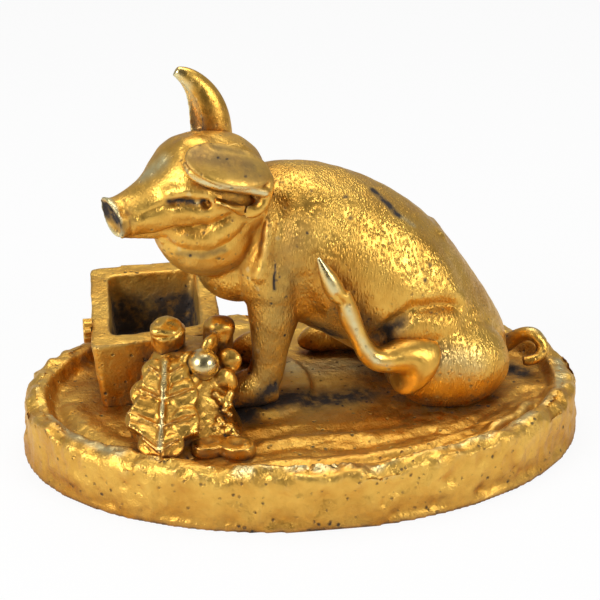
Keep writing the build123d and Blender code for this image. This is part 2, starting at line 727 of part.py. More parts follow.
with BuildPart() as base_casting:
    add(ground_form.part)
    with BuildSketch():
        Ellipse(BASE_LENGTH / 2 - BASE_WALL, BASE_WIDTH / 2 - BASE_WALL)
    extrude(amount=ROOF_UNDERSIDE, mode=Mode.SUBTRACT)
    with BuildSketch(Plane.XY.offset(ROOF_UNDERSIDE)):
        with Locations(WELL_CENTRE):
            Circle(WELL_RADIUS)
    extrude(amount=RIM_HEIGHT, mode=Mode.SUBTRACT)
    with upright([trap_lug(0, 1), trap_lug(TRAP_OPEN, -1)], ROOF_UNDERSIDE - LUG_HEIGHT):
        Cylinder(LUG_RADIUS, LUG_HEIGHT + 1, align=UPWARD)
    with upright(SEAT_SCREWS + TROUGH_SCREWS, ROOF_UNDERSIDE):
        Cone(SCREW_HEAD_RADIUS, SCREW_RADIUS, SCREW_HEAD_DEPTH, align=UPWARD, mode=Mode.SUBTRACT)
        Cylinder(SCREW_RADIUS, RIM_HEIGHT, align=UPWARD, mode=Mode.SUBTRACT)
    with upright([PIVOT], ROOF_UNDERSIDE):
        Cylinder(PIVOT_RADIUS, PIVOT_THREAD, align=UPWARD, mode=Mode.SUBTRACT)
base_casting.part.label = "base_casting"


def countersunk_screws(places, length):
    """Slotted countersunk screws whose heads lie flush with the underside of the roof."""
    with upright(places, ROOF_UNDERSIDE):
        Cylinder(SCREW_RADIUS, length, align=UPWARD)
        Cone(SCREW_HEAD_RADIUS, SCREW_RADIUS, SCREW_HEAD_DEPTH, align=UPWARD)
        Box(2 * SCREW_HEAD_RADIUS, 0.8, 0.8, align=UPWARD, mode=Mode.SUBTRACT)


with BuildPart() as seat_screws:
    countersunk_screws(SEAT_SCREWS, SEAT_SCREW_LENGTH)
seat_screws.part.label = "seat_screws"

with BuildPart() as trough_screws:
    countersunk_screws(TROUGH_SCREWS, TROUGH_SCREW_LENGTH)
trough_screws.part.label = "trough_screws"

# --- Coin trap under the base ---------------------------------------------------------
TRAP_TOP = ROOF_UNDERSIDE - FIT
TRAP_UNDERSIDE = TRAP_TOP - TRAP_THICKNESS
TAB_RADIUS = 2.4
TAB_HEIGHT = 1.6
TAB_REACH = 9.5
WASHER_RADIUS = 4.2
WASHER_THICKNESS = 0.45
PIVOT_HEAD_RADIUS = 4.8
PIVOT_HEAD_HEIGHT = 1.9

with BuildPart() as coin_trap:
    with BuildSketch(Plane.XY.offset(TRAP_UNDERSIDE)):
        with Locations(WELL_CENTRE):
            Circle(TRAP_RADIUS)
        with Locations(PIVOT):
            Circle(TRAP_NECK_RADIUS)
        make_hull()
        with Locations(PIVOT):
            Circle(PIVOT_RADIUS + FIT, mode=Mode.SUBTRACT)
    extrude(amount=TRAP_THICKNESS)
    with Locations((WELL_CENTRE[0] + TAB_REACH, WELL_CENTRE[1], TRAP_UNDERSIDE - TAB_HEIGHT)):
        Cylinder(TAB_RADIUS, TAB_HEIGHT, align=UPWARD)
    fillet(coin_trap.faces().sort_by(Axis.Z)[0].edges(), 0.6)
coin_trap.part.label = "coin_trap"

washer_top = TRAP_UNDERSIDE - FIT
head_top = washer_top - WASHER_THICKNESS
with BuildPart() as trap_washer:
    with BuildSketch(Plane.XY.offset(head_top)):
        with Locations(PIVOT):
            Circle(WASHER_RADIUS)
            Circle(PIVOT_RADIUS, mode=Mode.SUBTRACT)
    extrude(amount=WASHER_THICKNESS)
trap_washer.part.label = "trap_washer"

with BuildPart() as trap_screw:
    with upright([PIVOT], head_top - PIVOT_HEAD_HEIGHT):
        Cylinder(PIVOT_HEAD_RADIUS, PIVOT_HEAD_HEIGHT, align=UPWARD)
    fillet(trap_screw.faces().sort_by(Axis.Z)[0].edges(), 0.8)
    with upright([PIVOT], head_top - PIVOT_HEAD_HEIGHT):
        Box(2 * PIVOT_HEAD_RADIUS, 1.2, 1.0, align=UPWARD, mode=Mode.SUBTRACT)
    with upright([PIVOT], head_top):
        Cylinder(PIVOT_RADIUS, ROOF_UNDERSIDE + PIVOT_THREAD - head_top, align=UPWARD)
trap_screw.part.label = "trap_screw"

# --- Write one file for each piece ----------------------------------------------------
PIECES = [
    base_casting,
    body_half_near,
    body_half_far,
    head_casting,
    ear_upright,
    ear_folded,
    hind_leg_raised,
    tail_curl,
    trough_casting,
    trough_knob,
    leaf_sheaf,
    cut_stalks,
    fruit_ball,
    seed_pods,
    body_screw,
    shell_dowels,
    seat_screws,
    trough_screws,
    coin_trap,
    trap_washer,
    trap_screw,
]
for piece in PIECES:
    export_step(piece.part, f"parts/{piece.part.label}.step")
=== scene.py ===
import math

import bpy
import numpy as np
from mathutils import Matrix, Vector


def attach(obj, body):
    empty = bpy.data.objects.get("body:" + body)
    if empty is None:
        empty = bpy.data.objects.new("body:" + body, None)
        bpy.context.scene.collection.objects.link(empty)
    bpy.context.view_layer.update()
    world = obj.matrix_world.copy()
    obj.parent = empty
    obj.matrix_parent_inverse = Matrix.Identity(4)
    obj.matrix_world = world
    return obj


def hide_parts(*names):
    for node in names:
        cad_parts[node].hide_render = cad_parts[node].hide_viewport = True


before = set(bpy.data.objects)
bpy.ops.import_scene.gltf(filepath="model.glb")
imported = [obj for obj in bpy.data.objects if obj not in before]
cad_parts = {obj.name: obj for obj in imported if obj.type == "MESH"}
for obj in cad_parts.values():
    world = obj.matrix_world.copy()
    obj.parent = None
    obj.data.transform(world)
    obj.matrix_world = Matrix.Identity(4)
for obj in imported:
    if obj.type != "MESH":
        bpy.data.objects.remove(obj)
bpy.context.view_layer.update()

# --- Studio ---------------------------------------------------------------------------
# A white table under a white tent, with a soft window at each side and one overhead. The
# camera looks down on the pig's near side through a long lens.
MM = 0.001
scene = bpy.context.scene
scene.view_settings.view_transform = "Standard"

bpy.ops.object.select_all(action="DESELECT")
AIM = Vector((0.0, 0.0046, 0.0316))
EYE = Vector((-0.0550, -0.3678, 0.2063))
bpy.ops.object.camera_add(location=EYE, rotation=(EYE - AIM).to_track_quat("Z", "Y").to_euler())
camera = bpy.context.object
camera.name = "studio_camera"
camera.data.sensor_width = 36.0
camera.data.lens = 108.0
camera.data.clip_start = 0.01
scene.camera = camera

WINDOWS = {
    "window_left": ((-0.50, -0.30, 0.34), 0.30, 2.7),
    "window_right": ((0.42, -0.42, 0.30), 0.22, 1.45),
    "window_top": ((0.05, 0.12, 0.60), 0.40, 1.7),
}
for name, (place, width, watts) in WINDOWS.items():
    facing = (Vector(place) - AIM).to_track_quat("Z", "Y").to_euler()
    bpy.ops.object.light_add(type="AREA", location=place, rotation=facing)
    window = bpy.context.object
    window.name = name
    window.data.size = width
    window.data.energy = watts

bpy.ops.mesh.primitive_plane_add(size=6.0)
table = bpy.context.object
table.name = "studio_table"
white = bpy.data.materials.new("white_table")
white.use_nodes = True
nodes, links = white.node_tree.nodes, white.node_tree.links
nodes.clear()
out = nodes.new("ShaderNodeOutputMaterial")
paint = nodes.new("ShaderNodeBsdfDiffuse")
paint.inputs["Color"].default_value = (0.86, 0.86, 0.86, 1)
glow = nodes.new("ShaderNodeEmission")
glow.inputs["Color"].default_value = (1, 1, 1, 1)
seen = nodes.new("ShaderNodeMixShader")
seen.inputs[0].default_value = 0.90
links.new(paint.outputs[0], seen.inputs[1])
links.new(glow.outputs[0], seen.inputs[2])
rays = nodes.new("ShaderNodeLightPath")
pick = nodes.new("ShaderNodeMixShader")
links.new(rays.outputs["Is Camera Ray"], pick.inputs[0])
links.new(paint.outputs[0], pick.inputs[1])
links.new(seen.outputs[0], pick.inputs[2])
links.new(pick.outputs[0], out.inputs[0])
table.data.materials.append(white)

# The tent is pale overhead and falls off towards the dark room in front of the table.
tent = bpy.data.worlds.new("studio_tent")
tent.use_nodes = True
scene.world = tent
nodes, links = tent.node_tree.nodes, tent.node_tree.links
nodes.clear()
out = nodes.new("ShaderNodeOutputWorld")
around = nodes.new("ShaderNodeTexCoord")
split_axes = nodes.new("ShaderNodeSeparateXYZ")
links.new(around.outputs["Generated"], split_axes.inputs[0])
front = nodes.new("ShaderNodeMapRange")
front.inputs["From Min"].default_value = -0.9
front.inputs["From Max"].default_value = 0.5
front.inputs["To Min"].default_value = 0.05
front.inputs["To Max"].default_value = 0.46
links.new(split_axes.outputs["Y"], front.inputs["Value"])
cloth = nodes.new("ShaderNodeBackground")
links.new(front.outputs[0], cloth.inputs["Strength"])
sky = nodes.new("ShaderNodeBackground")
sky.inputs["Strength"].default_value = 1.0
rays = nodes.new("ShaderNodeLightPath")
pick = nodes.new("ShaderNodeMixShader")
links.new(rays.outputs["Is Camera Ray"], pick.inputs[0])
links.new(cloth.outputs[0], pick.inputs[1])
links.new(sky.outputs[0], pick.inputs[2])
links.new(pick.outputs[0], out.inputs[0])

# --- Worn gilding: the finish that all the castings share -------------------------------
# Fire gilding over brass: rich gold outside; painted shade turns it orange in the sheltered hollows and
# creases, where broad random tone also deepens it, and dark where it is most sheltered; pale brass where
# it is rubbed through, also used as painted light on a few patches; dark grime in the pits. Painted
# marks come from two attributes, which carry painted shade and painted light as well as dirt and wear.
gilding = bpy.data.node_groups.new("worn_gilding_and_shade", "ShaderNodeTree")
for name, kind, value in (
    ("Gold", "NodeSocketColor", (0.87, 0.525, 0.105, 1)),
    ("Deep", "NodeSocketColor", (0.55, 0.22, 0.02, 1)),
    ("Bare", "NodeSocketColor", (0.78, 0.68, 0.36, 1)),
    ("GrimeAndShade", "NodeSocketColor", (0.035, 0.025, 0.02, 1)),
    ("Roughness", "NodeSocketFloat", 0.34),
    ("Pits", "NodeSocketFloat", 1.0),
    ("Hair", "NodeSocketFloat", 0.0),
    ("Grain", "NodeSocketFloat", 1.0),
):
    socket = gilding.interface.new_socket(name=name, in_out="INPUT", socket_type=kind)
    socket.default_value = value
for name, kind in (
    ("Color", "NodeSocketColor"),
    ("Roughness", "NodeSocketFloat"),
    ("Metallic", "NodeSocketFloat"),
    ("Height", "NodeSocketFloat"),
):
    gilding.interface.new_socket(name=name, in_out="OUTPUT", socket_type=kind)
nodes, links = gilding.nodes, gilding.links
given = nodes.new("NodeGroupInput")
result = nodes.new("NodeGroupOutput")


def math_node(operation, a, b=None, clamp=False):
    """One math node of the gilding; a and b are sockets or numbers."""
    node = nodes.new("ShaderNodeMath")
    node.operation = operation
    node.use_clamp = clamp
    for socket, value in zip(node.inputs, (a, b)):
        if value is None:
            continue
        if isinstance(value, (int, float)):
            socket.default_value = value
        else:
            links.new(value, socket)
    return node.outputs[0]


def ranged(value, low, high, to_low=0.0, to_high=1.0):
    """A value stretched from one range to another, with its ends held."""
    node = nodes.new("ShaderNodeMapRange")
    ends = {"From Min": low, "From Max": high, "To Min": to_low, "To Max": to_high}
    for key, number in ends.items():
        node.inputs[key].default_value = number
    links.new(value, node.inputs["Value"])
    return node.outputs[0]


def blended(share, a, b):
    """Colour a, turning to colour b by a share."""
    node = nodes.new("ShaderNodeMix")
    node.data_type = "RGBA"
    links.new(share, node.inputs[0])
    links.new(a, node.inputs[6])
    links.new(b, node.inputs[7])
    return node.outputs[2]


place = nodes.new("ShaderNodeTexCoord").outputs["Object"]
to_mm = nodes.new("ShaderNodeVectorMath")
to_mm.operation = "SCALE"
to_mm.inputs["Scale"].default_value = 1000.0
links.new(place, to_mm.inputs[0])
place_mm = to_mm.outputs[0]


def mottle(size, detail=3.0):
    """Soft irregular mottling, with patches of about a size in millimetres."""
    node = nodes.new("ShaderNodeTexNoise")
    node.inputs["Scale"].default_value = 1.0 / size
    node.inputs["Detail"].default_value = detail
    node.inputs["Roughness"].default_value = 0.55
    links.new(place_mm, node.inputs["Vector"])
    return node.outputs[0]


broad, middle, fine = mottle(9.0), mottle(2.2, 4.0), mottle(0.5, 2.0)
shelter = nodes.new("ShaderNodeAmbientOcclusion")
shelter.samples = 6
shelter.inputs["Distance"].default_value = 0.010
# Painted shade: the more sheltered a place is, the more it turns to the Deep colour, and where it is
# most sheltered, to the grime colour.
hollow = ranged(shelter.outputs["AO"], 0.32, 0.96, 1.0, 0.0)
shape = nodes.new("ShaderNodeNewGeometry").outputs["Pointiness"]
edge = ranged(shape, 0.515, 0.60)
# Painted shade in concave creases, taking them towards the Deep colour.
crease = ranged(shape, 0.485, 0.42)


def painted(attribute):
    """A mark that was painted on the piece's points."""
    node = nodes.new("ShaderNodeAttribute")
    node.attribute_name = attribute
    return node.outputs["Fac"]


pit_cells = nodes.new("ShaderNodeTexVoronoi")
pit_cells.inputs["Scale"].default_value = 0.55
pit_cells.inputs["Randomness"].default_value = 1.0
links.new(place_mm, pit_cells.inputs["Vector"])
pit = ranged(pit_cells.outputs["Distance"], 0.30, 0.12)
pit = math_node("MULTIPLY", pit, ranged(middle, 0.50, 0.62))
pit = math_node("MULTIPLY", pit, given.outputs["Pits"])
# Painted shade from shelter and creases, with broad random tone, takes the colour towards Deep.
deep = math_node("MULTIPLY", hollow, 0.95)
deep = math_node("ADD", deep, ranged(broad, 0.40, 0.68, 0.0, 0.45))
deep = math_node("ADD", deep, math_node("MULTIPLY", crease, 0.5), True)
# Painted shade in the most sheltered places, dirt in the pits, and the painted dirt-and-shade attribute
# all take the colour to the dark grime colour.
grime_and_shade = math_node("MULTIPLY", math_node("POWER", hollow, 2.2), ranged(middle, 0.32, 0.62))
grime_and_shade = math_node("ADD", math_node("MULTIPLY", grime_and_shade, 0.85), math_node("MULTIPLY", pit, 0.8))
soiled_and_shaded = math_node("MULTIPLY", painted("soil_and_shade"), ranged(middle, 0.25, 0.55, 0.7, 1.3))
grime_and_shade = math_node("ADD", grime_and_shade, soiled_and_shaded, True)
# The painted wear attribute also holds a few patches of painted light; both take the pale colour.
bare_and_lit = math_node("MULTIPLY", painted("rub_and_light"), ranged(middle, 0.3, 0.6, 0.6, 1.2))
bare_and_lit = math_node("ADD", bare_and_lit, math_node("MULTIPLY", edge, 0.35), True)
colour = blended(deep, given.outputs["Gold"], given.outputs["Deep"])
colour = blended(bare_and_lit, colour, given.outputs["Bare"])
colour = blended(grime_and_shade, colour, given.outputs["GrimeAndShade"])
links.new(colour, result.inputs["Color"])
gloss = math_node("ADD", given.outputs["Roughness"], ranged(middle, 0.3, 0.7, -0.06, 0.12))
gloss = math_node("ADD", gloss, math_node("MULTIPLY", grime_and_shade, 0.3))
gloss = math_node("SUBTRACT", gloss, math_node("MULTIPLY", bare_and_lit, 0.08), True)
links.new(gloss, result.inputs["Roughness"])
metallic = math_node("SUBTRACT", 1.0, math_node("MULTIPLY", grime_and_shade, 0.8), True)
links.new(metallic, result.inputs["Metallic"])
# Rows of short punch marks lie along the coat, from the spine down to the belly.
comb = nodes.new("ShaderNodeMapping")
comb.inputs["Rotation"].default_value = (0.0, math.radians(28), 0.0)
comb.inputs["Scale"].default_value = (2.1, 1.5, 0.75)
links.new(place_mm, comb.inputs["Vector"])
punch = nodes.new("ShaderNodeTexVoronoi")
punch.inputs["Scale"].default_value = 1.0
links.new(comb.outputs[0], punch.inputs["Vector"])
tuft = ranged(punch.outputs["Distance"], 0.05, 0.55, 1.0, 0.0)
height = math_node("MULTIPLY", middle, given.outputs["Grain"])
height = math_node("ADD", height, math_node("MULTIPLY", fine, 0.35))
height = math_node("ADD", height, math_node("MULTIPLY", tuft, given.outputs["Hair"]))
height = math_node("SUBTRACT", height, math_node("MULTIPLY", pit, 1.2))
links.new(height, result.inputs["Height"])


def gilt_finish(name, relief, **values):
    """A material of worn gilding with painted shade and painted light; relief is the depth of its grain
    in millimetres.
    """
    finish = bpy.data.materials.new(name)
    finish.use_nodes = True
    tree = finish.node_tree
    metal = tree.nodes["Principled BSDF"]
    coat = tree.nodes.new("ShaderNodeGroup")
    coat.node_tree = gilding
    for key, value in values.items():
        coat.inputs[key].default_value = value
    grain = tree.nodes.new("ShaderNodeBump")
    grain.inputs["Distance"].default_value = relief * MM
    grain.inputs["Strength"].default_value = 1.0
    for key in ("Roughness", "Metallic"):
        tree.links.new(coat.outputs[key], metal.inputs[key])
    tree.links.new(coat.outputs["Color"], metal.inputs["Base Color"])
    tree.links.new(coat.outputs["Height"], grain.inputs["Height"])
    tree.links.new(grain.outputs[0], metal.inputs["Normal"])
    return finish


# --- Base casting: oval ground with a rocky rim -----------------------------------------
# One hollow casting whose ground swells and folds like trodden earth inside a rough rim.
# It is worked up from the plain casting, so its well and screw holes stay where they are.
def only(piece):
    """Make one piece the only one selected."""
    bpy.ops.object.select_all(action="DESELECT")
    piece.select_set(True)
    bpy.context.view_layer.objects.active = piece


def apply_modifier(piece, kind, **settings):
    """Put a modifier on a piece and apply it at once."""
    only(piece)
    modifier = piece.modifiers.new(kind.title(), kind)
    for key, value in settings.items():
        setattr(modifier, key, value)
    bpy.ops.object.modifier_apply(modifier=modifier.name)


def plain_casting(node):
    """A merged copy of the plain casting, to be worked up."""
    piece = bpy.data.objects.new("plain_" + node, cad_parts[node].data.copy())
    scene.collection.objects.link(piece)
    only(piece)
    bpy.ops.object.mode_set(mode="EDIT")
    bpy.ops.mesh.select_all(action="SELECT")
    bpy.ops.mesh.remove_doubles(threshold=1e-6)
    bpy.ops.object.mode_set(mode="OBJECT")
    return piece


def worked_blank(name, parts, skin, smoothing):
    """Parts pressed into one lump, with a skin of even faces of a size in millimetres."""
    only(parts[0])
    for part in parts[1:]:
        part.select_set(True)
    if len(parts) > 1:
        bpy.ops.object.join()
    piece = bpy.context.object
    piece.name = piece.data.name = name
    piece.data.materials.clear()
    apply_modifier(piece, "REMESH", mode="VOXEL", voxel_size=skin * MM)
    apply_modifier(piece, "SMOOTH", factor=0.5, iterations=smoothing)
    for mark in ("soil_and_shade", "rub_and_light"):
        piece.data.attributes.new(mark, "FLOAT", "POINT")
    return piece


def points_of(piece):
    """A mesh's points, in millimetres."""
    flat = np.empty(len(piece.data.vertices) * 3, np.float32)
    piece.data.vertices.foreach_get("co", flat)
    return flat.reshape(-1, 3).astype(float) / MM


def normals_of(piece):
    """A mesh's outward directions at its points."""
    flat = np.empty(len(piece.data.vertices) * 3, np.float32)
    piece.data.vertex_normals.foreach_get("vector", flat)
    return flat.reshape(-1, 3).astype(float)


def set_points(piece, points):
    """Move a mesh's points to places in millimetres."""
    piece.data.vertices.foreach_set("co", (points * MM).astype(np.float32).ravel())
    piece.data.update()


LATTICE_SIDE = 32
lattice = np.random.default_rng(41).uniform(-1, 1, (LATTICE_SIDE,) * 3)


def lumps_at(points, size, shift):
    """Smooth random unevenness from -1 to 1, with lumps of about a size."""
    scaled = points / size + shift
    cell = np.floor(scaled).astype(int)
    part = scaled - cell
    part = part * part * (3 - 2 * part)
    total = np.zeros(len(points))
    for dx in (0, 1):
        for dy in (0, 1):
            for dz in (0, 1):
                share = (
                    np.where(dx, part[:, 0], 1 - part[:, 0])
                    * np.where(dy, part[:, 1], 1 - part[:, 1])
                    * np.where(dz, part[:, 2], 1 - part[:, 2])
                )
                corner = (cell + (dx, dy, dz)) % LATTICE_SIDE
                total += share * lattice[corner[:, 0], corner[:, 1], corner[:, 2]]
    return total


def add_mark(piece, mark, amount):
    """Add to a painted attribute, kept from 0 to 1."""
    values = np.empty(len(piece.data.vertices), np.float32)
    piece.data.attributes[mark].data.foreach_get("value", values)
    values = np.clip(values + amount, 0, 1).astype(np.float32)
    piece.data.attributes[mark].data.foreach_set("value", values)


STROKE_STEP = 1.0
STROKE_SEARCH = 4.0


def stroke(piece, path, width, push=0.0, soil_and_shade=0.0, rub_and_light=0.0, crisp=False):
    """Work a modelling tool along a path: push the skin out or in, and paint it."""
    points, normals = points_of(piece), normals_of(piece)
    corners = [np.array(corner, float) for corner in path]
    walk = [corners[0]]
    for start, end in zip(corners, corners[1:]):
        steps = max(1, int(np.linalg.norm(end - start) / STROKE_STEP))
        walk += [start + (end - start) * k / steps for k in range(1, steps + 1)]
    walk = np.array(walk)
    margin = width + STROKE_SEARCH
    near = np.where(((points > walk.min(0) - margin) & (points < walk.max(0) + margin)).all(1))[0]
    if not len(near):
        return
    spots, outwards = points[near], normals[near]
    touched = np.array([near[np.argmin(((spots - step) ** 2).sum(1))] for step in walk])
    line, facing = points[touched], normals[touched]
    if len(line) == 1:
        line, facing = np.repeat(line, 2, 0), np.repeat(facing, 2, 0)
    reach = np.full(len(near), np.inf)
    side = np.zeros(len(near))
    for start, end, faced in zip(line, line[1:], facing):
        run = end - start
        share = np.clip(((spots - start) @ run) / max(run @ run, 1e-9), 0, 1)
        distance = np.linalg.norm(spots - (start + share[:, None] * run), axis=1)
        nearer = distance < reach
        reach[nearer] = distance[nearer]
        side[nearer] = (outwards @ faced)[nearer]
    closeness = np.clip(1 - reach / width, 0, 1)
    fall = closeness**1.5 if crisp else closeness * closeness * (3 - 2 * closeness)
    fall *= np.clip(side * 1.6 + 0.3, 0, 1)
    if push:
        points[near] += outwards * (fall * push)[:, None]
        set_points(piece, points)
    for mark, amount in (("soil_and_shade", soil_and_shade), ("rub_and_light", rub_and_light)):
        if amount:
            whole = np.zeros(len(points))
            whole[near] = fall * amount
            add_mark(piece, mark, whole)


def finish_piece(piece, finish, body, slot_name, *stands_for):
    """Smooth the shading, give the finish, and fix the piece to its body."""
    only(piece)
    piece.data.materials.clear()
    piece.data.materials.append(finish)
    bpy.ops.object.shade_smooth_by_angle(angle=math.radians(50))
    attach(piece, body)
    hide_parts(*stands_for)


gilt_ground = gilt_finish("gilt_ground", relief=0.28, Roughness=0.40, Pits=1.0, Grain=1.5)
ground = worked_blank("ground_base", [plain_casting("base_casting")], 0.6, 3)
points = points_of(ground)
normals = normals_of(ground)
x, y, z = points.T
HALF_LENGTH, HALF_WIDTH = 65, 45
rho = np.sqrt((x / HALF_LENGTH) ** 2 + (y / HALF_WIDTH) ** 2)
from_edge = (1 - rho) * np.sqrt(x**2 + y**2) / np.maximum(rho, 1e-6)
WELL_X, WELL_Y, WELL_CLEARANCE = 34.0, 4.0, 12.4
clear_of_well = np.hypot(x - WELL_X, y - WELL_Y) > WELL_CLEARANCE
inside = (np.abs(normals[:, 2]) > 0.35) & (normals[:, 2] > 0) & (z > 8) & clear_of_well
FOOT_EDGE = 0.8
outer = (from_edge < 3.4) & (z > FOOT_EDGE)
# Trodden folds run along the ground; the rim's crest wanders up and down.
along = np.stack([x * 0.42, y, z], 1)
folds = 0.55 * lumps_at(along, 5.0, 3.3) + 0.25 * lumps_at(along, 2.2, 9.1)
rim_share = np.clip(1 - from_edge / 11.0, 0, 1)
crest = 1.25 * lumps_at(points, 9.0, 1.7) + 0.75 * lumps_at(points, 3.6, 5.2)
crest += 0.3 * lumps_at(points, 1.8, 2.6)
lift = folds * (1 - rim_share) * np.clip(rho * 1.4, 0.25, 1) + crest * rim_share
points[:, 2] += np.where(inside, lift, 0)
outward = np.stack([x / HALF_LENGTH**2, y / HALF_WIDTH**2, np.zeros_like(x)], 1)
outward /= np.maximum(np.linalg.norm(outward, axis=1), 1e-9)[:, None]
dents = -0.50 + 0.65 * lumps_at(points, 6.5, 7.7) + 0.50 * lumps_at(points, 2.6, 2.9)
dents = np.minimum(dents, 0.0) - 0.26 * np.abs(lumps_at(points, 1.4, 4.4))
fade = np.clip((z - FOOT_EDGE) / 1.5, 0, 1)
points += outward * np.where(outer, dents * fade, 0)[:, None]
set_points(ground, points)
TOP = 10.2        # of the trodden ground
GROUND_FOLDS = [
    ([(-14, -20, TOP), (-4, -18, TOP), (8, -19, TOP), (18, -18, TOP)], 3.2, -0.9),
    ([(-18, -27, TOP), (-6, -26, TOP), (6, -28, TOP), (17, -26, TOP), (26, -23, TOP)], 2.6, -0.7),
    ([(-12, -23, TOP), (0, -22.5, TOP), (12, -23.5, TOP)], 2.6, 0.8),
    ([(-20, -33, TOP), (-8, -32, TOP), (5, -33, TOP), (20, -31, TOP), (34, -25, TOP)], 2.4, 0.9),
    ([(24, -27, TOP), (34, -21.5, TOP), (44, -14, TOP), (52, -6, TOP)], 2.2, -0.5),
    ([(28, -31, 10.8), (38, -26, 11), (48, -18, 11), (56, -9, 11)], 2.6, 1.0),
    ([(-54, -2, 10.6), (-50, -12, 10.6), (-43, -20, 10.6), (-37, -30, 10.6)], 4.5, 0.9),
    ([(40, -24, 11.5), (46, -22, 11.6), (49, -16, 11.6)], 2.6, 0.8),
    ([(-46, -26, 13), (-36, -33, 13), (-24, -38.5, 13)], 1.6, 0.7),
    ([(-20, -39.5, 13.2), (-12, -41, 13), (-4, -40.6, 12.8), (4, -41.5, 12.8)], 1.4, 0.9),
    ([(10, -41, 12.8), (22, -39, 12.8), (34, -34, 13)], 1.5, 0.8),
]
for path, width, push in GROUND_FOLDS:
    stroke(ground, path, width, push)
# Painted shadow on the ground under the belly, beside the near forefoot.
stroke(ground, [(-16, -9, 11), (-8, -7, 11), (2, -5, 10.4), (12, -4, TOP)], 8.0, soil_and_shade=0.85)
# Painted light on the ground between the legs, in the pale worn colour.
stroke(ground, [(-2, 10, 11), (10, 12, TOP), (18, 10, TOP)], 7.0, rub_and_light=0.5)
# Painted shade on the ground under the rump and tail.
stroke(ground, [(49, 6, TOP), (53, 2, TOP)], 4.0, soil_and_shade=0.8)
RUBBED_RIMS = [
    [(-58, -9, 13), (-53, -20, 13), (-44, -29, 13)],
    [(-20, -39.8, 13.6), (-4, -41, 13.2), (10, -41.5, 13)],
    [(20, -39, 13), (36, -33, 13.5), (48, -25, 13)],
    [(52, -20, 12.5), (59, -10, 12.5), (62, 2, 12.5)],
]
for rubbed in RUBBED_RIMS:
    stroke(ground, rubbed, 2.2, rub_and_light=0.75)
finish_piece(ground, gilt_ground, "bank", "gilt_base", "base_casting")

# --- The pig: two hollow shells and a head ----------------------------------------------
# The coat and head are modelled as one and cut where the castings meet: the two shells on
# the upright seam along the back, the head on its leaning joint behind the ears.
HEAD_ROOT = np.array((-13.0, 3.0, 54.5))
HEAD_TURN = math.radians(21.0)
HEAD_FORWARD = np.array((-math.cos(HEAD_TURN), -math.sin(HEAD_TURN), 0.0))
HEAD_SIDEWAYS = np.array((math.sin(HEAD_TURN), -math.cos(HEAD_TURN), 0.0))
SEAM_Y = 4.0


def on_head(forward, sideways, up):
    """A place on the head: forward to the snout, sideways to its near side, and up."""
    spot = HEAD_ROOT + HEAD_FORWARD * forward + HEAD_SIDEWAYS * sideways
    return (spot[0], spot[1], spot[2] + up)


def lump(place, half_sizes, turn=(0.0, 0.0, 0.0)):
    """An egg of clay pressed on the model; turns are in degrees."""
    bpy.ops.object.select_all(action="DESELECT")
    bpy.ops.mesh.primitive_uv_sphere_add(segments=40, ring_count=20, radius=1.0)
    egg = bpy.context.object
    egg.scale = [size * MM for size in half_sizes]
    egg.rotation_euler = [math.radians(angle) for angle in turn]
    egg.location = [value * MM for value in place]
    bpy.ops.object.transform_apply(location=True, rotation=True, scale=True)
    return egg


def roll(stations):
    """A roll of clay through points (x, y, z, radius), with round ends."""
    line = bpy.data.curves.new("roll", "CURVE")
    line.dimensions = "3D"
    line.bevel_depth = MM
    line.bevel_resolution = 5
    line.use_fill_caps = True
    line.resolution_u = 8
    spline = line.splines.new("NURBS")
    spline.points.add(len(stations) - 1)
    for point, (px, py, pz, radius) in zip(spline.points, stations):
        point.co = (px * MM, py * MM, pz * MM, 1)
        point.radius = radius
    spline.order_u = 3
    spline.use_endpoint_u = True
    piece = bpy.data.objects.new("roll", line)
    scene.collection.objects.link(piece)
    only(piece)
    bpy.ops.object.convert(target="MESH")
    tube = bpy.context.object
    ends = [lump(stations[k][:3], (stations[k][3],) * 3) for k in (0, -1)]
    only(tube)
    for end in ends:
        end.select_set(True)
    bpy.ops.object.join()
    return bpy.context.object


def block(low, high, matrix=None):
    """A cutting block between two corners."""
    bpy.ops.object.select_all(action="DESELECT")
    bpy.ops.mesh.primitive_cube_add(size=1.0)
    cutter = bpy.context.object
    cutter.scale = [(b - a) * MM for a, b in zip(low, high)]
    cutter.location = [(a + b) / 2 * MM for a, b in zip(low, high)]
    bpy.ops.object.transform_apply(location=True, rotation=True, scale=True)
    if matrix is not None:
        cutter.data.transform(matrix)
    return cutter


def cut(piece, cutter, operation):
    """Cut a piece with a cutter, which stays as it is."""
    apply_modifier(piece, "BOOLEAN", object=cutter, operation=operation, solver="MANIFOLD")


def twin(piece, name):
    """A copy of a piece with its own mesh."""
    copy = piece.copy()
    copy.data = piece.data.copy()
    copy.name = copy.data.name = name
    scene.collection.objects.link(copy)
    return copy


pig_parts = [plain_casting(node) for node in ("body_half_near", "body_half_far", "head_casting")]
pig_parts += [
    lump(on_head(8.6, 0.4, -1.0), (12.6, 10.8, 11.2), (0, 0, 21)),      # jowl
    lump(on_head(15.5, 0.6, 0.2), (6.4, 8.0, 8.4), (0, 0, 21)),         # chin
    lump(on_head(8.0, 6.6, 3.5), (8.0, 5.6, 7.0), (0, 0, 21)),          # near cheek
    lump(on_head(8.0, -5.4, 3.5), (8.0, 5.6, 7.0), (0, 0, 21)),         # far cheek
    lump((-10.6, 3.6, 54.2), (8.0, 11.4, 11.2), (0, 20, 0)),            # neck
    lump((-6.4, -3.6, 44.0), (9.5, 8.0, 12.0), (0, 8, 0)),              # near shoulder
    lump((-4.6, 11.6, 44.0), (9.0, 7.6, 12.0), (0, 8, 0)),              # far shoulder
]
NEAR_FORELEG = [
    (-8.6, -6.1, 24.0, 3.8), (-9.4, -6.4, 18.5, 3.7), (-12.0, -6.8, 15.6, 4.0), (-17.2, -7.2, 14.6, 3.1),
]
pig_parts.append(roll(NEAR_FORELEG))
pig = worked_blank("pig", pig_parts, 0.42, 9)

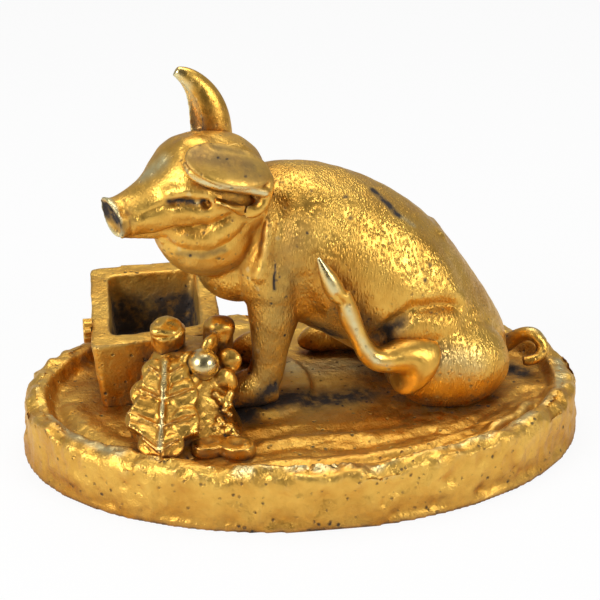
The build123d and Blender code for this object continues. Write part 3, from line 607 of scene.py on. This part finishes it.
COAT_STROKES = [
    # Crease over the haunch, and the swell below it.
    ([
        (15.5, -12.5, 29.5), (18.9, -13.5, 33.0), (22.7, -13.6, 35.8), (29.1, -12.2, 36.0),
        (33.0, -10.6, 35.2),
    ], 3.0, -1.5),
    ([(20.5, -15.0, 29.0), (26.0, -15.6, 31.2), (32.0, -14.6, 30.6)], 5.0, 0.9),
    # Edge of the thigh from the back down to the crease.
    ([
        (2.6, -4.5, 62.2), (8.5, -5.6, 59.9), (14.5, -5.9, 57.3), (20.8, -6.0, 53.6),
        (27.6, -6.9, 47.3), (31.6, -8.5, 40.9), (33.6, -10.0, 36.0),
    ], 5.0, 0.75),
    # Fold of the neck behind the ear and jowl.
    ([(-9.3, -10.2, 64.0), (-9.0, -10.2, 57.0), (-9.6, -10.4, 50.0), (-11.0, -9.8, 45.0)], 2.4, 0.8),
    ([(-6.4, -8.5, 62.0), (-6.2, -10.0, 55.0), (-7.0, -10.8, 48.0)], 3.2, -0.6),
    # Elbow and the hollow behind the foreleg.
    ([(-1.5, -10.0, 44.0), (-0.5, -9.6, 38.5), (1.5, -9.2, 34.5)], 4.0, -0.8),
    ([(-7.8, -10.3, 39.0), (-8.2, -9.8, 33.0)], 4.2, 0.5),
    ([(4.6, -10.1, 40.0), (10.0, -11.5, 40.0), (14.0, -12.0, 42.0)], 6.0, 0.7),
]
for path, width, push in COAT_STROKES:
    stroke(pig, path, width, push)
FACE_STROKES = [
    # Mouth from under the snout back into the cheek, and the jowl's folds.
    ([
        (-41.0, -9.0, 56.0), (-36.5, -9.0, 55.9), (-32.9, -8.9, 55.8), (-30.0, -10.6, 57.2),
        (-26.0, -11.4, 57.4), (-21.5, -11.9, 58.0), (-17.5, -11.6, 60.0),
    ], 1.5, -0.95),
    ([
        (-31.5, -9.5, 53.5), (-27.0, -11.0, 52.0), (-22.0, -11.2, 51.8), (-17.5, -10.8, 53.5),
        (-14.2, -10.2, 56.5),
    ], 1.8, -0.55),
    ([(-29.5, -9.5, 55.4), (-25.0, -11.2, 54.8), (-20.0, -11.6, 55.2)], 2.4, 0.35),
    ([(-26.0, -8.5, 48.5), (-20.5, -8.6, 47.6), (-15.5, -8.4, 50.0)], 2.6, 0.3),
    # Brow over the eye, lower lid, and the hollow of the eye.
    ([
        on_head(20.6, 6.6, 11.2), on_head(18.0, 8.4, 11.9), on_head(14.4, 9.8, 11.2),
        on_head(12.0, 10.6, 9.6),
    ], 2.4, 0.7),
    ([on_head(20.4, 7.6, 7.2), on_head(17.0, 9.8, 6.8), on_head(13.6, 10.8, 6.8)], 2.4, 0.4),
    ([
        on_head(21.4, 7.0, 9.2), on_head(18.6, 8.6, 9.6), on_head(15.6, 10.0, 9.2),
        on_head(13.6, 10.6, 8.6),
    ], 1.35, -1.1),
    # Side of the snout bridge, and the step behind the snout's rim.
    ([
        on_head(31.0, 4.2, 7.4), on_head(28.0, 5.0, 7.0), on_head(25.0, 5.8, 7.6),
        on_head(22.4, 6.4, 9.0),
    ], 1.3, -0.45),
    ([
        on_head(30.4, 2.0, 9.8), on_head(30.2, 4.4, 7.6), on_head(29.6, 5.0, 4.4),
        on_head(29.2, 4.0, 1.6),
    ], 1.1, -0.35),
    # Poll and forehead.
    ([on_head(15.0, 2.0, 20.0), on_head(12.0, 4.0, 20.4)], 4.0, 0.6),
    ([on_head(19.5, 1.0, 14.5), on_head(17.5, 2.0, 17.0)], 3.5, -0.4),
    # Lower lip.
    ([(-40.0, -8.0, 54.6), (-35.0, -7.4, 54.3), (-31.5, -7.0, 53.6)], 1.3, 0.5),
]
for path, width, push in FACE_STROKES:
    stroke(pig, path, width, push, crisp=push < 0)
points, normals = points_of(pig), normals_of(pig)
coat = 0.12 * lumps_at(points, 2.4, 6.1) + 0.20 * lumps_at(points, 5.5, 2.2)
set_points(pig, points + normals * coat[:, None])
# Dirt and rubbing on the coat, with painted shade and painted light among them.
stroke(pig, [on_head(21.2, 7.2, 9.2), on_head(18.6, 8.6, 9.6), on_head(15.2, 10.0, 9.2)], 1.5, soil_and_shade=1.0)
stroke(pig, [(-29.0, -10.4, 50.9), (-24.0, -11.2, 51.0), (-19.0, -11.0, 52.0)], 1.3, soil_and_shade=0.45)
stroke(pig, [(15.6, -0.6, 59.8), (17.6, -2.4, 58.0), (20.0, -4.4, 55.6)], 2.3, soil_and_shade=1.0)
stroke(pig, [(20.4, -4.6, 55.0), (24.0, -4.8, 52.4)], 1.2, soil_and_shade=0.35, rub_and_light=0.5)
for spot in ((9.1, -8.4, 56.7), (27.2, -9.2, 44.7), (8.6, -5.2, 60.1), (25.7, -11.3, 42.1)):
    stroke(pig, [spot], 0.9, soil_and_shade=0.8)
stroke(pig, [(-16.8, -7.4, 14.2), (-12.0, -8.4, 14.6), (-9.0, -9.0, 16.0)], 4.6, soil_and_shade=0.7)
crack = [(-7.8, -10.2, 47.3), (-7.9, -10.2, 44.6), (-8.0, -10.1, 41.9)]
stroke(pig, crack, 0.5, push=-0.25, soil_and_shade=0.9, crisp=True)
# Painted shade under the belly.
stroke(pig, [(4.0, -5.0, 29.5), (12.0, -4.0, 25.0), (18.0, -5.0, 21.0)], 7.0, soil_and_shade=0.8)
# Painted shade in the crease over the haunch.
stroke(pig, [(16.5, -12.7, 30.5), (20.0, -13.8, 33.5)], 3.4, soil_and_shade=0.6)
# Painted shade where the rump meets the ground.
stroke(pig, [(45.0, -3.0, 18.0), (45.0, 4.0, 16.0)], 3.4, soil_and_shade=0.6)
# Painted shade down the front of the shoulder and foreleg.
SHADED_FORELEG_FRONT = [
    (-3.0, -9.0, 53.0), (-5.0, -9.6, 46.0), (-7.0, -10.0, 38.0), (-8.0, -9.6, 28.0), (-9.0, -9.0, 20.0),
]
stroke(pig, SHADED_FORELEG_FRONT, 8.0, soil_and_shade=0.34)
stroke(pig, [on_head(23.0, -1.0, 13.0), on_head(20.0, 1.0, 16.5)], 3.4, rub_and_light=0.8)
# Painted shade under the jowl.
stroke(pig, [on_head(8.0, 6.0, -6.0), on_head(16.0, 5.0, -6.0)], 5.0, soil_and_shade=0.25)
# Painted shade on the lower flank behind the elbow.
stroke(pig, [(2.0, -9.0, 38.0), (9.0, -11.0, 34.0), (16.0, -12.0, 29.0)], 6.5, soil_and_shade=0.30)
# Painted light on the haunch under the raised leg, in the pale worn colour.
stroke(pig, [(22.0, -15.6, 24.0), (30.0, -15.4, 24.0), (36.0, -13.0, 22.0)], 6.0, rub_and_light=0.35)
eye = on_head(16.2, 9.6, 9.2)
stroke(pig, [eye], 1.1, push=0.5, soil_and_shade=-1.0, rub_and_light=0.9)
SNOUT_RADIUS = 5.0
snout_ring = [
    on_head(32.4, SNOUT_RADIUS * math.cos(angle), 5.3 + SNOUT_RADIUS * math.sin(angle))
    for angle in np.linspace(0, 2 * math.pi, 13)
]
stroke(pig, snout_ring, 1.2, push=0.25, rub_and_light=0.9)
stroke(pig, [on_head(34.0, -2.0, 5.3), on_head(34.0, 2.0, 5.3)], 4.4, push=-0.5, soil_and_shade=1.2, rub_and_light=-0.6)

# The head's joint leans back from upright; below the chest's top the shells go on under it.
NECK_PLACE = (-13.0, 3.0, 58.9)
NECK_LEAN = math.radians(14)
CHEST_TOP = 44.2
across_joint = Vector(HEAD_FORWARD * math.cos(NECK_LEAN) + np.array((0, 0, math.sin(NECK_LEAN))))
neck_frame = across_joint.to_track_quat("X", "Z").to_matrix().to_4x4()
neck_frame.translation = Vector(NECK_PLACE) * MM
head_space = block((0, -60, -60), (70, 60, 60), neck_frame)
above_chest = block((-90, -60, CHEST_TOP), (40, 60, 120))
cut(head_space, above_chest, "INTERSECT")
near_space = block((-100, -100, -20), (100, SEAM_Y, 120))
head = twin(pig, "pig_head")
cut(head, head_space, "INTERSECT")
cut(pig, head_space, "DIFFERENCE")
far_shell = twin(pig, "pig_shell_far")
cut(far_shell, near_space, "DIFFERENCE")
cut(pig, near_space, "INTERSECT")
pig.name = pig.data.name = "pig_shell_near"
for cutter in (head_space, above_chest, near_space):
    bpy.data.objects.remove(cutter)
gilt_coat = gilt_finish("gilt_coat", relief=0.15, Roughness=0.36, Hair=0.75, Pits=0.8, Grain=1.0)
gilt_face = gilt_finish("gilt_face", relief=0.15, Roughness=0.39, Hair=0.2, Pits=0.9, Grain=1.3)
finish_piece(pig, gilt_coat, "bank", "gilt_body", "body_half_near")
finish_piece(far_shell, gilt_coat, "bank", "gilt_body", "body_half_far")
finish_piece(head, gilt_face, "bank", "gilt_body", "head_casting")

# --- Ears --------------------------------------------------------------------------------
# The far ear stands up like a horn with a cupped front; the near one is folded over the
# cheek. Both are small castings pinned to the head, rubbed to pale brass on their rims.
worn_rim = gilt_finish("worn_rim_gilt", relief=0.12, Roughness=0.34, Pits=0.6, Grain=1.2)
upright = worked_blank("ear_upright_far", [plain_casting("ear_upright")], 0.26, 5)
front_edge = [(-23.6, 7.6, 72.6), (-24.0, 7.9, 77.5), (-25.0, 8.4, 81.0), (-26.8, 9.0, 84.4)]
stroke(upright, front_edge, 2.6, rub_and_light=0.8)
stroke(upright, [(-27.4, 9.6, 86.0), (-25.5, 9.4, 86.0)], 1.8, rub_and_light=0.6)
stroke(upright, [(-21.4, 6.2, 73.4), (-21.8, 6.6, 76.4)], 1.5, soil_and_shade=0.5)
finish_piece(upright, worn_rim, "bank", "worn_gilt", "ear_upright")

FOLD_RIM = [
    (-26.4, -10.2, 71.6, 1.0), (-25.4, -12.0, 70.0, 1.15), (-21.6, -13.4, 68.9, 1.35),
    (-16.0, -13.4, 67.4, 1.35), (-10.0, -11.2, 65.0, 1.2),
]
folded = worked_blank("ear_folded_near", [
    plain_casting("ear_folded"),
    lump((-17.6, -10.3, 71.1), (9.8, 5.6, 1.5), (36, 17, 6)),
    roll(FOLD_RIM),
], 0.26, 5)
rim_edge = [
    (-26.2, -11.4, 70.6), (-24.0, -13.4, 69.2), (-19.0, -14.4, 68.2),
    (-14.0, -13.8, 66.8), (-10.2, -12.0, 65.0),
]
stroke(folded, rim_edge, 1.2, rub_and_light=1.0)
stroke(folded, [(-24.5, -11.4, 75.0), (-17.6, -11.8, 73.1), (-11.5, -11.6, 71.2)], 6.5, soil_and_shade=0.55)
stroke(folded, [(-20.0, -7.6, 74.4), (-14.0, -7.0, 73.4)], 2.0, push=-0.4, soil_and_shade=0.3)
finish_piece(folded, worn_rim, "bank", "worn_gilt", "ear_folded")

# --- Raised hind leg and curled tail ------------------------------------------------------
# The hind leg is cast apart and pinned to the haunch, its foot lifted along the flank.
leg = worked_blank("hind_leg_lifted", [
    plain_casting("hind_leg_raised"),
    lump((22.5, -13.6, 24.6), (5.6, 3.8, 4.6), (0, 12, 10)),
], 0.3, 6)
stroke(leg, [(6.4, -18.2, 41.0), (4.6, -18.6, 43.0)], 1.0, push=-0.45, crisp=True)
shin = [(13.5, -18.4, 26.6), (11.3, -18.5, 29.4), (9.2, -18.6, 33.4), (7.1, -18.6, 39.7)]
stroke(leg, shin, 1.6, rub_and_light=0.85)
stroke(leg, [(4.0, -18.6, 44.6), (2.2, -18.2, 48.6), (0.9, -17.0, 51.4)], 2.0, rub_and_light=0.9)
stroke(leg, [(16.0, -18.0, 24.6), (14.0, -18.0, 25.4)], 2.6, rub_and_light=0.6)
finish_piece(leg, worn_rim, "bank", "worn_gilt", "hind_leg_raised")

tail = worked_blank("tail_curled", [plain_casting("tail_curl")], 0.25, 4)
stroke(tail, [(55.0, 3.9, 21.0), (57.6, 2.2, 19.0)], 1.6, rub_and_light=0.6)
finish_piece(tail, gilt_face, "bank", "gilt_body", "tail_curl")

# --- Trough and its knob -------------------------------------------------------------------
# Thick cast walls with worn, softly rounded rims, and painted shade deepening inside.
gilt_trough = gilt_finish("gilt_trough", relief=0.26, Roughness=0.42, Pits=1.0, Grain=1.5)
trough = worked_blank("feed_trough", [plain_casting("trough_casting")], 0.4, 4)
points, normals = points_of(trough), normals_of(trough)
chipped = 0.16 * lumps_at(points, 3.2, 1.1) + 0.22 * lumps_at(points, 8.0, 4.9)
ABOVE_GROUND = 11.0
set_points(trough, points + normals * (chipped * (points[:, 2] > ABOVE_GROUND))[:, None])
points, normals = points_of(trough), normals_of(trough)
# Painted shade inside the trough: its inner walls and floor darken the deeper they lie below the rim.
middle_of_trough = (points.min(0) + points.max(0)) / 2
inward = ((middle_of_trough - points) * normals)[:, :2].sum(1)
depth = points[:, 2].max() - 1.2 - points[:, 2]
shaded_inside = (inward > 1.0) | ((normals[:, 2] > 0.7) & (depth > 3.0))
add_mark(trough, "soil_and_shade", np.where(shaded_inside, 0.72 * np.clip(depth / 6.0, 0, 1), 0))
finish_piece(trough, gilt_trough, "bank", "gilt_trough", "trough_casting")

knob = worked_blank("trough_rosette", [plain_casting("trough_knob")], 0.2, 2)
finish_piece(knob, gilt_trough, "bank", "gilt_trough", "trough_knob")

# --- Greens heaped against the trough --------------------------------------------------------
# A lobed cabbage leaf with raised ribs lies over the heap, with petals round a ball and
# stippled cress at its foot, all cast together.
LEAF_TIP = np.array((-35.6, -30.2, 11.9))
LEAF_FRAME = Matrix.Rotation(math.radians(-10), 3, "Z") @ Matrix.Rotation(math.radians(37), 3, "X")


def on_leaf(across, along, proud=0.0):
    """A place on the leaf: across it, up from its tip, and proud of its face."""
    spot = LEAF_FRAME @ Vector((across, along, proud))
    return (LEAF_TIP[0] + spot[0], LEAF_TIP[1] + spot[1], LEAF_TIP[2] + spot[2])


greens_parts = [plain_casting("leaf_sheaf")]
MIDRIB = [(*on_leaf(0, 1.0, 0.9), 0.7), (*on_leaf(0, 12.0, 1.6), 0.8), (*on_leaf(0, 23.0, 1.8), 1.0)]
greens_parts.append(roll(MIDRIB))
LOBES = [(2.6, 3.4, 2.6), (5.2, 9.4, 3.1), (4.4, 15.6, 3.2), (2.6, 21.0, 2.8)]
for across, along, size in LOBES:
    for side in (-1, 1):
        vein_root = on_leaf(side * 0.4, along - 2.0, 1.6)
        vein_end = on_leaf(side * across * 1.45, along + 1.0, 1.7)
        blade = (size, size * 1.15, 0.9)
        greens_parts.append(lump(on_leaf(side * across, along, 0.5), blade, (37, side * 12, -10)))
        greens_parts.append(roll([(*vein_root, 0.42), (*vein_end, 0.3)]))
PETALS = [
    (-18.0, -9.6, 24.6),
    (-19.2, -12.4, 21.0),
    (-26.6, -14.2, 21.2),
    (-28.0, -11.0, 25.4),
    (-22.4, -9.4, 28.6),
]
for k, (px, py, pz) in enumerate(PETALS):
    greens_parts.append(lump((px, py, pz), (2.7, 1.4, 3.0), (10 * k - 20, 20 * k - 40, 15 * k)))
rng = np.random.default_rng(7)
CRESS_BUDS = 46
for k in range(CRESS_BUDS):
    a, r = rng.uniform(-0.5, 1.0), rng.uniform(0.0, 1.0)
    px, py = -24.5 + 6.0 * a + rng.uniform(-1.5, 1.5), -16.0 - 8.5 * r
    pz = 19.0 - 8.6 * r + rng.uniform(-0.8, 0.8)
    size = rng.uniform(0.7, 1.25)
    greens_parts.append(lump((px, py, pz), (size, size, size)))
greens = worked_blank("leaf_heap", greens_parts, 0.32, 2)
points, normals = points_of(greens), normals_of(greens)
crumple = 0.13 * lumps_at(points, 1.5, 3.1) + 0.20 * lumps_at(points, 4.5, 8.8)
set_points(greens, points + normals * crumple[:, None])
for across, along, size in LOBES:
    for side in (-1, 1):
        for shift in (-1.1, 1.1):
            root = on_leaf(side * 0.9, along - 1.4 + shift, 2.0)
            groove = [root, on_leaf(side * across * 1.4, along + 0.8 + shift, 2.0)]
            stroke(greens, groove, 0.8, push=-0.3, soil_and_shade=0.2, crisp=True)
stroke(greens, [on_leaf(0, 2.0, 2.0), on_leaf(0, 12.0, 2.2), on_leaf(0, 22.0, 2.4)], 1.0, rub_and_light=0.7)
gilt_leaf = gilt_finish("gilt_leaf", relief=0.16, Roughness=0.30, Pits=0.9, Grain=1.2)
finish_piece(greens, gilt_leaf, "bank", "gilt_greens", "leaf_sheaf")

stalks = worked_blank("cut_stalk_ends", [
    plain_casting("cut_stalks"),
    lump((-31.8, -6.6, 32.2), (3.7, 3.1, 1.6), (14, 0, 10)),
    lump((-19.4, -4.4, 31.0), (3.4, 2.8, 1.6), (14, 8, 0)),
], 0.3, 3)
points, normals = points_of(stalks), normals_of(stalks)
cut_ends = 0.35 * lumps_at(points, 1.8, 5.5) + 0.3 * lumps_at(points, 4.0, 2.5)
set_points(stalks, points + normals * cut_ends[:, None])
finish_piece(stalks, gilt_leaf, "bank", "gilt_greens", "cut_stalks")

ball = worked_blank("fruit_bead", [plain_casting("fruit_ball")], 0.25, 3)
pale_brass = gilt_finish(
    "pale_rubbed_brass", relief=0.03, Roughness=0.25, Pits=0.2, Grain=0.4,
    Gold=(0.82, 0.68, 0.34, 1), Deep=(0.60, 0.42, 0.14, 1), Bare=(0.80, 0.72, 0.44, 1),
)
finish_piece(ball, pale_brass, "bank", "polished_brass", "fruit_ball")

pod_parts = [plain_casting("seed_pods")]
POD_PLACES = [(-18.6, -27.0, 11.6), (-24.4, -25.2, 11.4)]
for (px, py, pz), turn in zip(POD_PLACES, (-25, 20)):
    ring = []
    cosine, sine = math.cos(math.radians(turn)), math.sin(math.radians(turn))
    for angle in np.linspace(0, 2 * math.pi, 15):
        dx, dy = 3.7 * math.cos(angle), 2.8 * math.sin(angle)
        ring.append((px + dx * cosine - dy * sine, py + dx * sine + dy * cosine, pz + 1.1, 0.5))
    pod_parts.append(roll(ring))
pods = worked_blank("seed_pods_pair", pod_parts, 0.28, 2)
for px, py, pz in POD_PLACES:
    stroke(pods, [(px, py, pz + 2.5)], 3.0, push=-1.0, soil_and_shade=0.3)
finish_piece(pods, gilt_leaf, "bank", "gilt_greens", "seed_pods")

# --- Screws, dowels and the coin trap ----------------------------------------------------------
# Turned steel screws and a sheet-brass trap, all under the base or on the pig's far side;
# the machined solids are shown as they are, with brushed and stained finishes.
brush = bpy.data.node_groups.new("machined_marks", "ShaderNodeTree")
for name, kind, value in (
    ("Metal", "NodeSocketColor", (0.6, 0.6, 0.6, 1)),
    ("Stain", "NodeSocketColor", (0.2, 0.14, 0.08, 1)),
    ("Roughness", "NodeSocketFloat", 0.35),
):
    brush.interface.new_socket(name=name, in_out="INPUT", socket_type=kind).default_value = value
for name, kind in (
    ("Color", "NodeSocketColor"),
    ("Roughness", "NodeSocketFloat"),
    ("Height", "NodeSocketFloat"),
):
    brush.interface.new_socket(name=name, in_out="OUTPUT", socket_type=kind)
nodes, links = brush.nodes, brush.links
given = nodes.new("NodeGroupInput")
result = nodes.new("NodeGroupOutput")
place = nodes.new("ShaderNodeTexCoord").outputs["Object"]
to_mm = nodes.new("ShaderNodeVectorMath")
to_mm.operation = "MULTIPLY"
to_mm.inputs[1].default_value = (300.0, 4000.0, 1500.0)
links.new(place, to_mm.inputs[0])
place_mm = to_mm.outputs[0]
lines = mottle(1.0, 2.0)
to_mm = nodes.new("ShaderNodeVectorMath")
to_mm.operation = "SCALE"
to_mm.inputs["Scale"].default_value = 1000.0
links.new(place, to_mm.inputs[0])
place_mm = to_mm.outputs[0]
stains = mottle(3.0, 4.0)
stained = blended(ranged(stains, 0.48, 0.70), given.outputs["Metal"], given.outputs["Stain"])
links.new(stained, result.inputs["Color"])
gloss = math_node("ADD", given.outputs["Roughness"], ranged(stains, 0.4, 0.7, 0.0, 0.25))
links.new(gloss, result.inputs["Roughness"])
links.new(lines, result.inputs["Height"])


def machined_finish(name, metal_colour, stain, roughness):
    """A material of turned or rolled metal with fine lines and stains."""
    finish = bpy.data.materials.new(name)
    finish.use_nodes = True
    tree = finish.node_tree
    metal = tree.nodes["Principled BSDF"]
    metal.inputs["Metallic"].default_value = 1.0
    marks = tree.nodes.new("ShaderNodeGroup")
    marks.node_tree = brush
    marks.inputs["Metal"].default_value = metal_colour
    marks.inputs["Stain"].default_value = stain
    marks.inputs["Roughness"].default_value = roughness
    grain = tree.nodes.new("ShaderNodeBump")
    grain.inputs["Distance"].default_value = 0.02 * MM
    tree.links.new(marks.outputs["Color"], metal.inputs["Base Color"])
    tree.links.new(marks.outputs["Roughness"], metal.inputs["Roughness"])
    tree.links.new(marks.outputs["Height"], grain.inputs["Height"])
    tree.links.new(grain.outputs[0], metal.inputs["Normal"])
    return finish


screw_steel = machined_finish("turned_screw_steel", (0.30, 0.29, 0.28, 1), (0.12, 0.08, 0.05, 1), 0.36)
trap_brass = machined_finish("rolled_trap_brass", (0.62, 0.45, 0.18, 1), (0.28, 0.16, 0.05, 1), 0.32)
washer_steel = machined_finish("spring_washer_steel", (0.42, 0.42, 0.42, 1), (0.2, 0.17, 0.14, 1), 0.28)
HARDWARE = {
    "body_screw": screw_steel,
    "shell_dowels": screw_steel,
    "seat_screws": screw_steel,
    "trough_screws": screw_steel,
    "trap_screw": screw_steel,
    "trap_washer": washer_steel,
    "coin_trap": trap_brass,
}
for node, finish in HARDWARE.items():
    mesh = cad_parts[node].data
    mesh.materials.clear()
    mesh.materials.append(finish)
